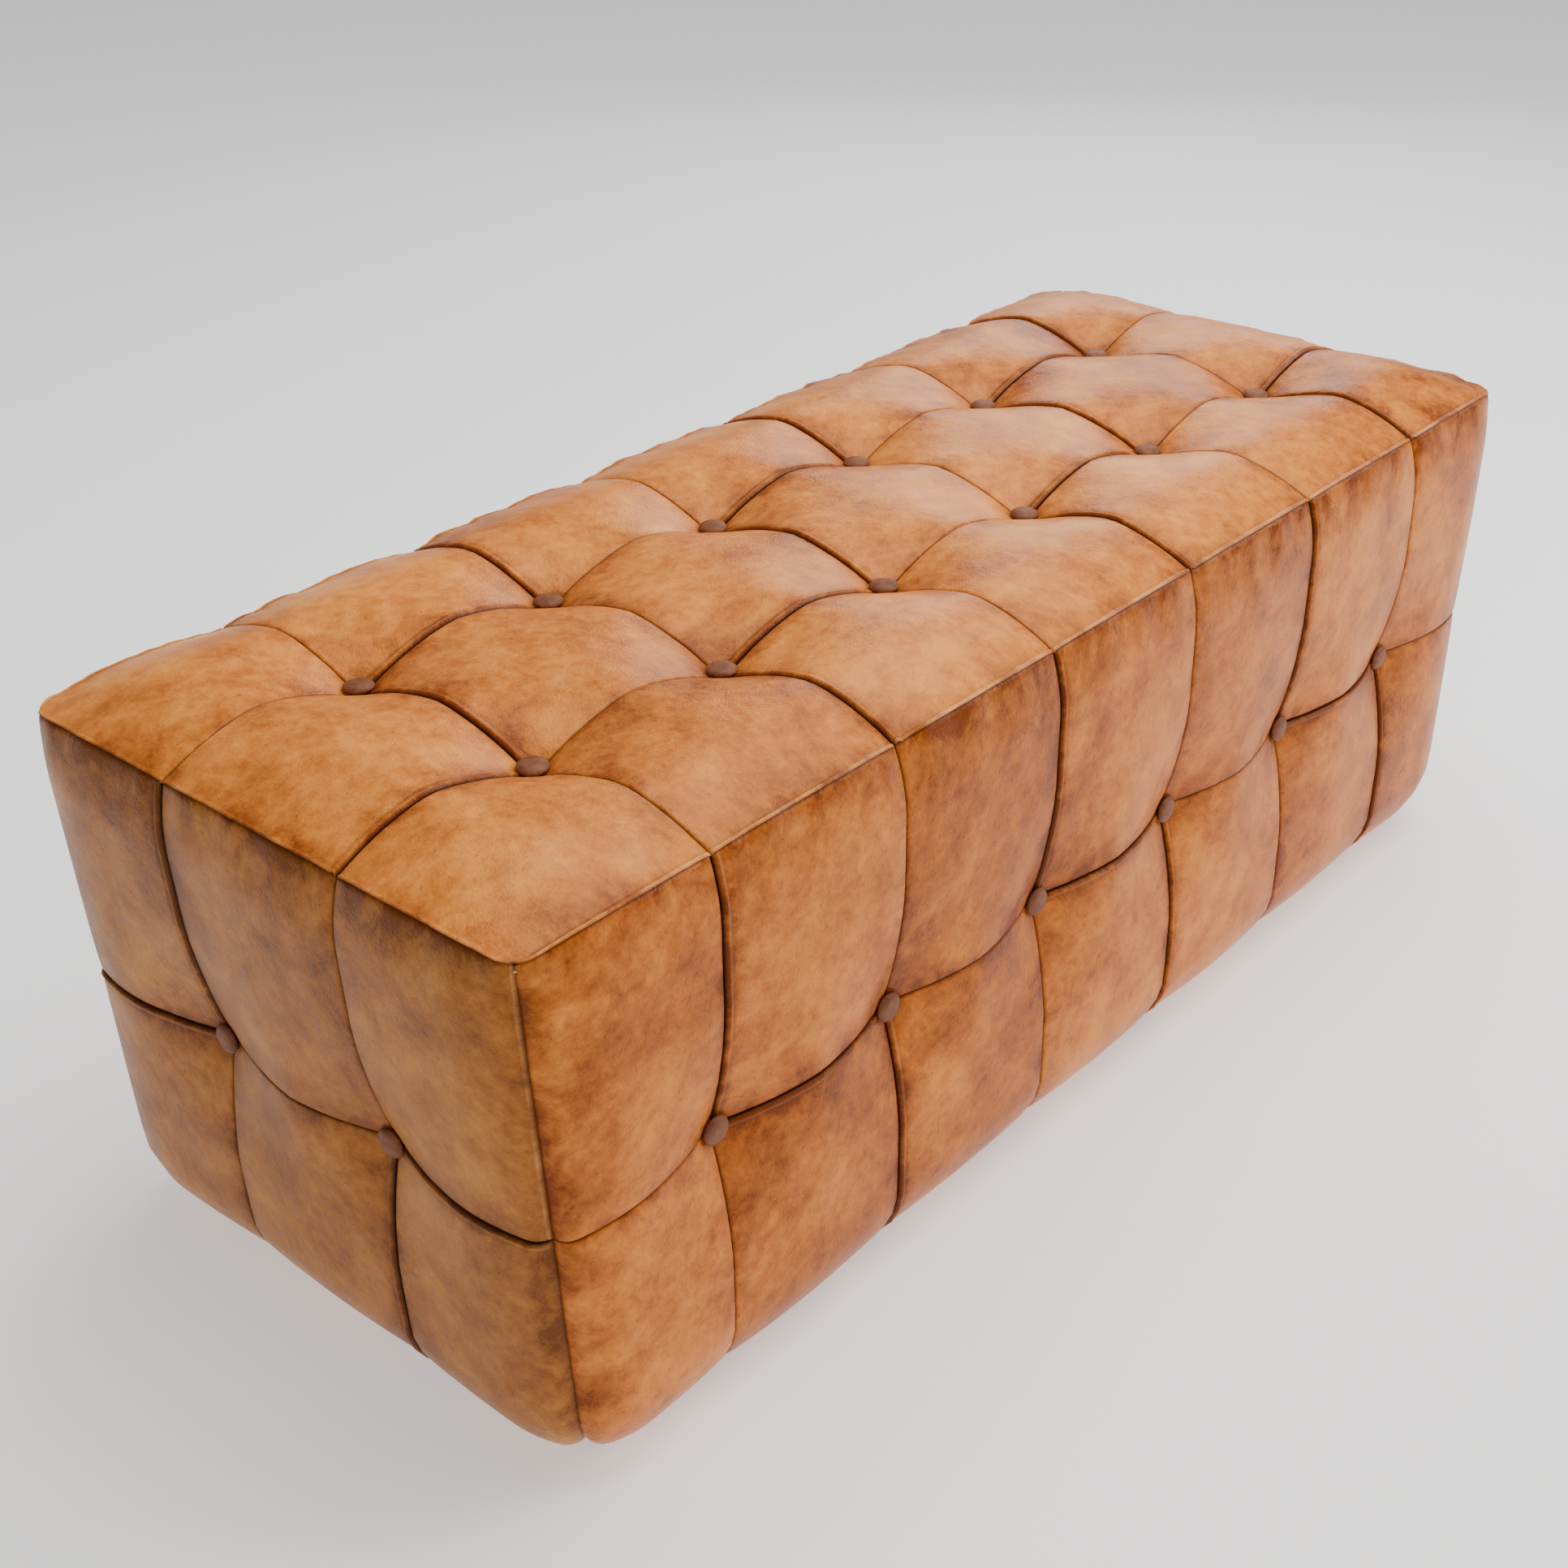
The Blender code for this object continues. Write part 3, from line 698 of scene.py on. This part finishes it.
def model_button():
    """One covered button on the origin, dome up and shank down, shaped from a disc."""
    deselect_all()
    bpy.ops.mesh.primitive_cylinder_add(vertices=24, radius=BACK_RADIUS, depth=BACK_THICK)
    obj = bpy.context.object
    select_faces(obj, lambda centre, normal: normal.z > 0.9)
    for height, taper in RINGS:
        raise_ring(height, taper)
    select_faces(obj, lambda centre, normal: normal.z < -0.9)
    bpy.ops.mesh.inset(thickness=BACK_RADIUS - SHANK_RADIUS)
    down = (0, 0, -SHANK_LENGTH)
    bpy.ops.mesh.extrude_region_move(TRANSFORM_OT_translate={"value": down})
    bpy.ops.object.mode_set(mode="OBJECT")
    tall = max(vertex.co.z for vertex in obj.data.vertices)
    rim = [v.co.z for v in obj.data.vertices if math.hypot(*v.co.xy) > 2 * SHANK_RADIUS]
    low = min(rim)
    for vertex in obj.data.vertices:
        if vertex.co.z >= low:
            vertex.co.z = (vertex.co.z - low) / (tall - low) * BUTTON_DOME
    smoothing = obj.modifiers.new("rounding", "SUBSURF")
    smoothing.levels = smoothing.render_levels = 2
    bpy.ops.object.modifier_apply(modifier=smoothing.name)
    bpy.ops.object.shade_smooth()
    return obj


def button_nodes():
    """Each button's node and outward direction."""
    found = []
    for row in ("front", "back"):
        found += [(f"top_button_{row}_{i}", Vector((0, 0, 1))) for i in range(1, 7)]
    for side, sign in (("front", -1), ("back", 1)):
        found += [(f"{side}_button_{i}", Vector((0, sign, 0))) for i in range(1, 7)]
    slope = END_LEAN / (seam_height - base_height)
    for side, sign in (("left", -1), ("right", 1)):
        outward = Vector((sign, 0, -slope)).normalized()
        found += [(f"{side}_button_{row}", outward) for row in ("front", "back")]
    return found


def make_buttons(material):
    pattern = model_button()
    for seed, (node, outward) in enumerate(button_nodes()):
        low, high = (Vector(corner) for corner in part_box(node))
        face_point = (low + high) / 2
        axis = max(range(3), key=lambda k: abs(outward[k]))
        face_point[axis] = high[axis] if outward[axis] > 0 else low[axis]
        obj = pattern.copy()
        obj.data = pattern.data.copy()
        obj.name = obj.data.name = f"covered_{node}"
        bpy.context.scene.collection.objects.link(obj)
        tilt_x = math.radians(TILT_DEGREES * (chance(seed + 0.5) - 0.5))
        tilt_y = math.radians(TILT_DEGREES * (chance(seed + 0.9) - 0.5))
        lean = Matrix.Rotation(tilt_x, 4, "X") @ Matrix.Rotation(tilt_y, 4, "Y")
        spin = Matrix.Rotation(2 * math.pi * chance(seed + 0.2), 4, "Z")
        aim = outward.to_track_quat("Z", "Y").to_matrix().to_4x4()
        seat = face_point - outward * (BUTTON_DOME - BUTTON_PROUD)
        obj.data.transform(Matrix.Translation(seat) @ aim @ lean @ spin)
        obj.data.materials.clear()
        obj.data.materials.append(material)
        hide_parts(node)
        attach(obj, "root")
    bpy.data.objects.remove(pattern)


# ------------------------------------------------ materials


def new_material(name):
    material = bpy.data.materials.new(name)
    material.use_nodes = True
    tree = material.node_tree
    return material, tree, tree.nodes["Principled BSDF"]


def set_values(shader, **values):
    for name, value in values.items():
        shader.inputs[name.replace("_", " ")].default_value = value


def make_node(tree, kind, values=None, **settings):
    node = tree.nodes.new(kind)
    for name, value in settings.items():
        setattr(node, name, value)
    for name, value in (values or {}).items():
        node.inputs[name].default_value = value
    return node


def noise(tree, vector, scale, detail=4.0, roughness=0.55, distortion=0.0):
    node = make_node(
        tree,
        "ShaderNodeTexNoise",
        {"Scale": scale, "Detail": detail, "Roughness": roughness, "Distortion": distortion},
    )
    tree.links.new(vector, node.inputs["Vector"])
    return node.outputs["Fac"]


def stretched(tree, vector, scale, turn=0.0):
    node = make_node(tree, "ShaderNodeMapping")
    node.inputs["Scale"].default_value = scale
    node.inputs["Rotation"].default_value = (0, 0, turn)
    tree.links.new(vector, node.inputs["Vector"])
    return node.outputs["Vector"]


def ramp(tree, value, stops):
    """Turns a value into a colour or a level through (place, colour) stops."""
    node = make_node(tree, "ShaderNodeValToRGB")
    elements = node.color_ramp.elements
    while len(elements) < len(stops):
        elements.new(0.5)
    for element, (place, colour) in zip(elements, stops):
        element.position = place
        shade = colour if isinstance(colour, tuple) else (colour, colour, colour)
        element.color = (*shade, 1.0)
    tree.links.new(value, node.inputs["Fac"])
    return node.outputs["Color"]


def mix(tree, share, first, second, blend="MIX"):
    node = make_node(tree, "ShaderNodeMix", data_type="RGBA", blend_type=blend)
    sockets = (node.inputs[0], node.inputs[6], node.inputs[7])
    for socket, value in zip(sockets, (share, first, second)):
        if isinstance(value, (int, float)):
            socket.default_value = value
        elif isinstance(value, tuple):
            socket.default_value = (*value, 1.0)
        else:
            tree.links.new(value, socket)
    return node.outputs[2]


def maths(tree, operation, first, second=0.0, third=0.0):
    node = make_node(tree, "ShaderNodeMath", operation=operation)
    for socket, value in zip(node.inputs, (first, second, third)):
        if isinstance(value, (int, float)):
            socket.default_value = value
        else:
            tree.links.new(value, socket)
    return node.outputs[0]


def attribute(tree, name):
    return make_node(tree, "ShaderNodeAttribute", attribute_name=name).outputs["Fac"]


def bump(tree, height, distance, strength=1.0, below=None):
    node = make_node(tree, "ShaderNodeBump", {"Distance": distance, "Strength": strength})
    tree.links.new(height, node.inputs["Height"])
    if below is not None:
        tree.links.new(below, node.inputs["Normal"])
    return node.outputs["Normal"]


# colour of the pale crests: wear plus painted highlight and sheen
WORN_AND_SHEEN_HIDE = (0.90, 0.42, 0.13)


def hide_finish(name, pale, middle, deep, crease_shade_colour, gloss, shine):
    """Hand-rubbed aniline leather: blotches and freckles, burnished towards the seams, with
    painted shade in the seam creases and round the buttons and painted highlights on the seam
    crests.
    """
    material, tree, shader = new_material(name)
    hide = make_node(tree, "ShaderNodeUVMap", uv_map="hide").outputs["UV"]
    clouds = noise(tree, hide, 8.0, 4.0, 0.55, 0.8)
    blotches = noise(tree, hide, 30.0, 6.0, 0.62, 0.4)
    mottle = noise(tree, hide, 110.0, 4.0, 0.60, 0.3)
    strokes = noise(tree, stretched(tree, hide, (45.0, 90.0, 1.0), 0.5), 1.0, 4.0, 0.6, 0.3)
    freckles = noise(tree, hide, 420.0, 3.0, 0.6)
    uneven = ramp(tree, blotches, [(0.3, 1.0), (0.7, 0.40)])
    rubbed = maths(tree, "MULTIPLY", attribute(tree, "burnish"), uneven)
    dye = maths(tree, "MULTIPLY", clouds, 0.68)
    dye = maths(tree, "MULTIPLY_ADD", blotches, 0.60, dye)
    dye = maths(tree, "MULTIPLY_ADD", mottle, 0.42, dye)
    dye = maths(tree, "MULTIPLY_ADD", strokes, 0.08, dye)
    dye = maths(tree, "MULTIPLY_ADD", freckles, 0.22, dye)
    dye = maths(tree, "SUBTRACT", dye, 0.47)
    tone = maths(tree, "SUBTRACT", attribute(tree, "tone"), 0.5)
    dye = maths(tree, "MULTIPLY_ADD", tone, 0.11, dye)
    dye = maths(tree, "MULTIPLY_ADD", rubbed, -0.36, dye)
    # painted shade round each button
    dye = maths(tree, "MULTIPLY_ADD", attribute(tree, "puckered"), -0.06, dye)
    colour = ramp(tree, dye, [(0.22, deep), (0.47, middle), (0.72, pale)])
    speck = ramp(tree, noise(tree, hide, 240.0, 2.0, 0.5), [(0.27, 0.45), (0.33, 1.0)])
    colour = mix(tree, 0.55, colour, speck, "MULTIPLY")
    scars = noise(tree, stretched(tree, hide, (5.0, 42.0, 1.0), -0.6), 1.0, 3.0, 0.5, 1.2)
    scar_lines = ramp(tree, scars, [(0.489, 0.0), (0.50, 1.0), (0.511, 0.0)])
    faint = maths(tree, "MULTIPLY", scar_lines, ramp(tree, clouds, [(0.42, 0.0), (0.60, 0.30)]))
    colour = mix(tree, faint, colour, pale)
    patchy = ramp(tree, blotches, [(0.42, 0.04), (0.62, 0.60)])
    # pale crests and sheen bands: wear plus painted highlight
    worn = maths(tree, "MULTIPLY", attribute(tree, "worn"), patchy)
    colour = mix(tree, worn, colour, WORN_AND_SHEEN_HIDE)
    # painted shade in the seam creases
    colour = mix(tree, attribute(tree, "crease_shade"), colour, crease_shade_colour)
    tree.links.new(colour, shader.inputs["Base Color"])
    polish = ramp(tree, mottle, [(0.3, gloss - 0.07), (0.7, gloss + 0.10)])
    tree.links.new(polish, shader.inputs["Roughness"])
    cells = make_node(tree, "ShaderNodeTexVoronoi", {"Scale": 620.0, "Randomness": 1.0})
    tree.links.new(hide, cells.inputs["Vector"])
    grain = bump(tree, cells.outputs["Distance"], 0.00030, 0.6)
    wrinkle = noise(tree, stretched(tree, hide, (110.0, 170.0, 1.0), 0.9), 1.0, 4.0, 0.6, 0.6)
    creased = bump(tree, wrinkle, 0.0006, 0.45, grain)
    soft = bump(tree, noise(tree, hide, 45.0, 3.0, 0.5), 0.0016, 0.6, creased)
    tree.links.new(soft, shader.inputs["Normal"])
    set_values(shader, Specular_IOR_Level=shine, Specular_Tint=(1.0, 0.72, 0.50, 1.0))
    return material


def button_finish():
    """Buttons: the same hide, stretched thin, redder and more matt."""
    material, tree, shader = new_material("button_leather")
    place = make_node(tree, "ShaderNodeTexCoord").outputs["Object"]
    blotches = noise(tree, place, 150.0, 5.0, 0.6, 0.5)
    colour = ramp(tree, blotches, [(0.3, (0.110, 0.034, 0.015)), (0.7, (0.23, 0.080, 0.036))])
    tree.links.new(colour, shader.inputs["Base Color"])
    grain = make_node(tree, "ShaderNodeTexVoronoi", {"Scale": 900.0})
    tree.links.new(place, grain.inputs["Vector"])
    tree.links.new(bump(tree, grain.outputs["Distance"], 0.0002, 0.5), shader.inputs["Normal"])
    set_values(shader, Roughness=0.48, Specular_IOR_Level=0.28)
    set_values(shader, Specular_Tint=(1.0, 0.74, 0.55, 1.0))
    return material


def foam_finish():
    material, tree, shader = new_material("foam")
    place = make_node(tree, "ShaderNodeTexCoord").outputs["Object"]
    cells = make_node(tree, "ShaderNodeTexVoronoi", {"Scale": 700.0})
    tree.links.new(place, cells.inputs["Vector"])
    yellowing = noise(tree, place, 20.0)
    colour = ramp(tree, yellowing, [(0.3, (0.62, 0.50, 0.26)), (0.7, (0.80, 0.69, 0.42))])
    tree.links.new(colour, shader.inputs["Base Color"])
    tree.links.new(bump(tree, cells.outputs["Distance"], 0.0006), shader.inputs["Normal"])
    set_values(shader, Roughness=0.95, Specular_IOR_Level=0.2)
    return material


def timber_finish(name, axis, pale, dark):
    """Sawn softwood: rings drawn out along the piece."""
    material, tree, shader = new_material(name)
    place = make_node(tree, "ShaderNodeTexCoord").outputs["Object"]
    scale = [38.0, 38.0, 38.0]
    scale[axis] = 1.6
    drawn = stretched(tree, place, tuple(scale))
    rings = make_node(tree, "ShaderNodeTexWave", {"Scale": 0.9, "Distortion": 5.0, "Detail": 3.0})
    tree.links.new(drawn, rings.inputs["Vector"])
    fibres = noise(tree, drawn, 6.0, 5.0, 0.7)
    grain = mix(tree, 0.45, rings.outputs["Color"], fibres)
    colour = ramp(tree, grain, [(0.2, dark), (0.75, pale)])
    tree.links.new(colour, shader.inputs["Base Color"])
    tree.links.new(bump(tree, fibres, 0.0004, 0.6), shader.inputs["Normal"])
    set_values(shader, Roughness=0.68, Specular_IOR_Level=0.3)
    return material


def cloth_finish():
    """Black spun-bonded dust cloth, with its small pressed dots."""
    material, tree, shader = new_material("dust_cloth")
    place = make_node(tree, "ShaderNodeTexCoord").outputs["Object"]
    dots = make_node(tree, "ShaderNodeTexVoronoi", {"Scale": 420.0, "Randomness": 0.15})
    tree.links.new(place, dots.inputs["Vector"])
    blacks = [(0.1, (0.010, 0.010, 0.011)), (0.5, (0.030, 0.029, 0.028))]
    colour = ramp(tree, dots.outputs["Distance"], blacks)
    tree.links.new(colour, shader.inputs["Base Color"])
    tree.links.new(bump(tree, dots.outputs["Distance"], 0.0003), shader.inputs["Normal"])
    set_values(shader, Roughness=0.85, Sheen_Weight=0.2)
    return material


def plastic_finish():
    material, tree, shader = new_material("glide_plastic")
    place = make_node(tree, "ShaderNodeTexCoord").outputs["Object"]
    blacks = [(0.3, (0.012, 0.010, 0.009)), (0.7, (0.028, 0.022, 0.019))]
    colour = ramp(tree, noise(tree, place, 90.0), blacks)
    tree.links.new(colour, shader.inputs["Base Color"])
    tree.links.new(bump(tree, noise(tree, place, 1800.0, 2.0), 0.0001), shader.inputs["Normal"])
    set_values(shader, Roughness=0.42)
    return material


# ------------------------------------------------ dust cloth

HEM = 0.015
CLOTH_THICK = 0.0002
FOLD = 0.0005
SAG = 0.0026
PUCKER = 0.0004
PUCKER_SPACING = 0.055
HELD_AT = 0.03


def make_dust_cloth(material):
    """The black cloth under the frame: edges folded in once and puckered where they are held."""
    low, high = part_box("dust_cloth")
    half_x, half_y = high[0], high[1]

    def lines(half, count):
        inside = np.linspace(-half, half, count)
        return np.concatenate([[-half - HEM, -half - FOLD], inside, [half + FOLD, half + HEM]])

    u, v = np.meshgrid(lines(half_x, 109), lines(half_y, 41), indexing="ij")
    fold_x, fold_y = np.abs(u) > half_x, np.abs(v) > half_y
    x = np.where(fold_x, np.sign(u) * (2 * half_x - np.abs(u)), u)
    y = np.where(fold_y, np.sign(v) * (2 * half_y - np.abs(v)), v)
    over_side = np.where(fold_x, 0.00050, 0.00075)
    layer = np.where(fold_y, over_side, np.where(fold_x, 0.00025, 0.0))
    inset_x, inset_y = half_x - np.abs(x), half_y - np.abs(y)
    sag = SAG * smooth(inset_x, HELD_AT, 0.20) * smooth(inset_y, HELD_AT, 0.15)
    edge = bell(np.minimum(inset_x, inset_y), HELD_AT, 0.012)
    along = np.where(inset_x < inset_y, y, x)
    pucker = PUCKER * edge * (1 + np.cos(2 * math.pi * along / PUCKER_SPACING))
    bottom = low[2] - 0.0002 + layer - sag - pucker
    outer = np.stack([x, y, bottom], axis=-1)
    thick = np.where(fold_x ^ fold_y, -CLOTH_THICK, CLOTH_THICK)
    inner = np.stack([x, y, bottom + thick], axis=-1)
    obj = closed_mesh("dust_cloth_sheet", outer, inner)
    obj.data.materials.append(material)
    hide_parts("dust_cloth")
    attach(obj, "root")


# ------------------------------------------------ stage, lights and camera


FLOOR_SIZE = 30.0
FLOOR_GLOW = 0.50
SKY_STRENGTH = 0.24
MIDDLE = (0.1, 0, 0.3)
LENS = 50.26
SENSOR = 36.0
CAMERA_PLACE = (-1.236, -1.000, seam_height + 0.679)
LOOKING = (0.6499, 0.5745, -0.4976)
CAMERA_UP = (0.381, 0.320, 0.867)


def make_stage():
    deselect_all()
    bpy.ops.mesh.primitive_plane_add(size=FLOOR_SIZE, location=(0, 0, 0))
    floor = bpy.context.object
    floor.name = "floor"
    material, tree, shader = new_material("pale_floor")
    set_values(shader, Base_Color=(0.90, 0.895, 0.885, 1.0), Roughness=0.9, Specular_IOR_Level=0.2)
    set_values(shader, Emission_Color=(1.0, 0.995, 0.985, 1.0), Emission_Strength=FLOOR_GLOW)
    floor.data.materials.append(material)


def area_light(name, place, target, size, power):
    data = bpy.data.lights.new(name, "AREA")
    data.shape = "RECTANGLE"
    data.size, data.size_y = size
    data.energy = power
    light = bpy.data.objects.new(name, data)
    light.location = place
    light.rotation_euler = (Vector(target) - Vector(place)).to_track_quat("-Z", "Y").to_euler()
    bpy.context.scene.collection.objects.link(light)


def make_lights():
    world = bpy.data.worlds.new("white_room")
    world.use_nodes = True
    sky = world.node_tree.nodes["Background"]
    sky.inputs["Color"].default_value = (1.0, 0.99, 0.98, 1.0)
    sky.inputs["Strength"].default_value = SKY_STRENGTH
    bpy.context.scene.world = world
    area_light("ceiling", (0.6, -0.2, 2.7), MIDDLE, (2.4, 2.2), 80)
    area_light("window", (2.3, -2.0, 1.8), MIDDLE, (1.8, 1.2), 56)
    area_light("near_window", (-2.6, -1.4, 2.2), (-0.6, -0.1, 0.4), (1.2, 1.0), 20)
    area_light("far_window", (2.7, 1.5, 1.4), (0.4, 0.0, 0.4), (1.4, 1.0), 16)


def make_camera():
    """A three-quarter view from the front left, looking down at about thirty degrees."""
    data = bpy.data.cameras.new("camera")
    data.lens = LENS
    data.sensor_width = SENSOR
    camera = bpy.data.objects.new("camera", data)
    camera.location = CAMERA_PLACE
    looking = Vector(LOOKING).normalized()
    right = looking.cross(Vector(CAMERA_UP)).normalized()
    turn = Matrix((right, right.cross(looking), -looking)).transposed()
    camera.rotation_euler = turn.to_euler()
    bpy.context.scene.collection.objects.link(camera)
    bpy.context.scene.camera = camera


make_camera()
make_stage()
make_lights()

# Tones per face: partly the panels' own leather, partly painted light: the top lighter, the sides
# and ends darker, for how the light falls
TOP_TONES_LIT = ((0.85, 0.305, 0.050), (0.59, 0.168, 0.021), (0.26, 0.054, 0.006))
SIDE_TONES_SHADED = ((0.74, 0.240, 0.034), (0.47, 0.120, 0.013), (0.19, 0.036, 0.004))
END_TONES_SHADED = ((0.53, 0.205, 0.038), (0.345, 0.112, 0.017), (0.15, 0.038, 0.005))
# crease colours: painted shade in the seam grooves
TOP_CREASE_SHADE = (0.030, 0.008, 0.003)
SIDE_CREASE_SHADE = (0.022, 0.006, 0.002)
END_CREASE_SHADE = (0.020, 0.007, 0.003)
top_leather_lit = hide_finish("leather_top_lit", *TOP_TONES_LIT, TOP_CREASE_SHADE, 0.33, 0.24)
side_leather_shaded = hide_finish("leather_side_shaded", *SIDE_TONES_SHADED, SIDE_CREASE_SHADE, 0.31, 0.13)
end_leather_shaded = hide_finish("leather_end_shaded", *END_TONES_SHADED, END_CREASE_SHADE, 0.36, 0.18)
foam = foam_finish()

for face in ("top", *SIDES):
    make_padding(face, foam)
make_panels(top_leather_lit, side_leather_shaded, end_leather_shaded)
make_buttons(button_finish())

pine = [
    timber_finish(f"pine_{letter}", axis, (0.60, 0.41, 0.22), (0.40, 0.23, 0.10))
    for axis, letter in enumerate("xyz")
]
plywood = timber_finish("plywood", 0, (0.58, 0.42, 0.25), (0.43, 0.28, 0.14))
make_dust_cloth(cloth_finish())
plastic = plastic_finish()


def dress_frame():
    """Gives every timber, board and glide of the frame its finish."""
    for name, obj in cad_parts.items():
        if name.endswith("_post"):
            material = pine[2]
        elif name.endswith("_rail"):
            material = pine[0 if name.startswith(("front", "back")) else 1]
        elif name.endswith("_panel") or name == "top_deck":
            material = plywood
        elif name.endswith("_glide"):
            material = plastic
        else:
            continue
        obj.data.materials.clear()
        obj.data.materials.append(material)


dress_frame()
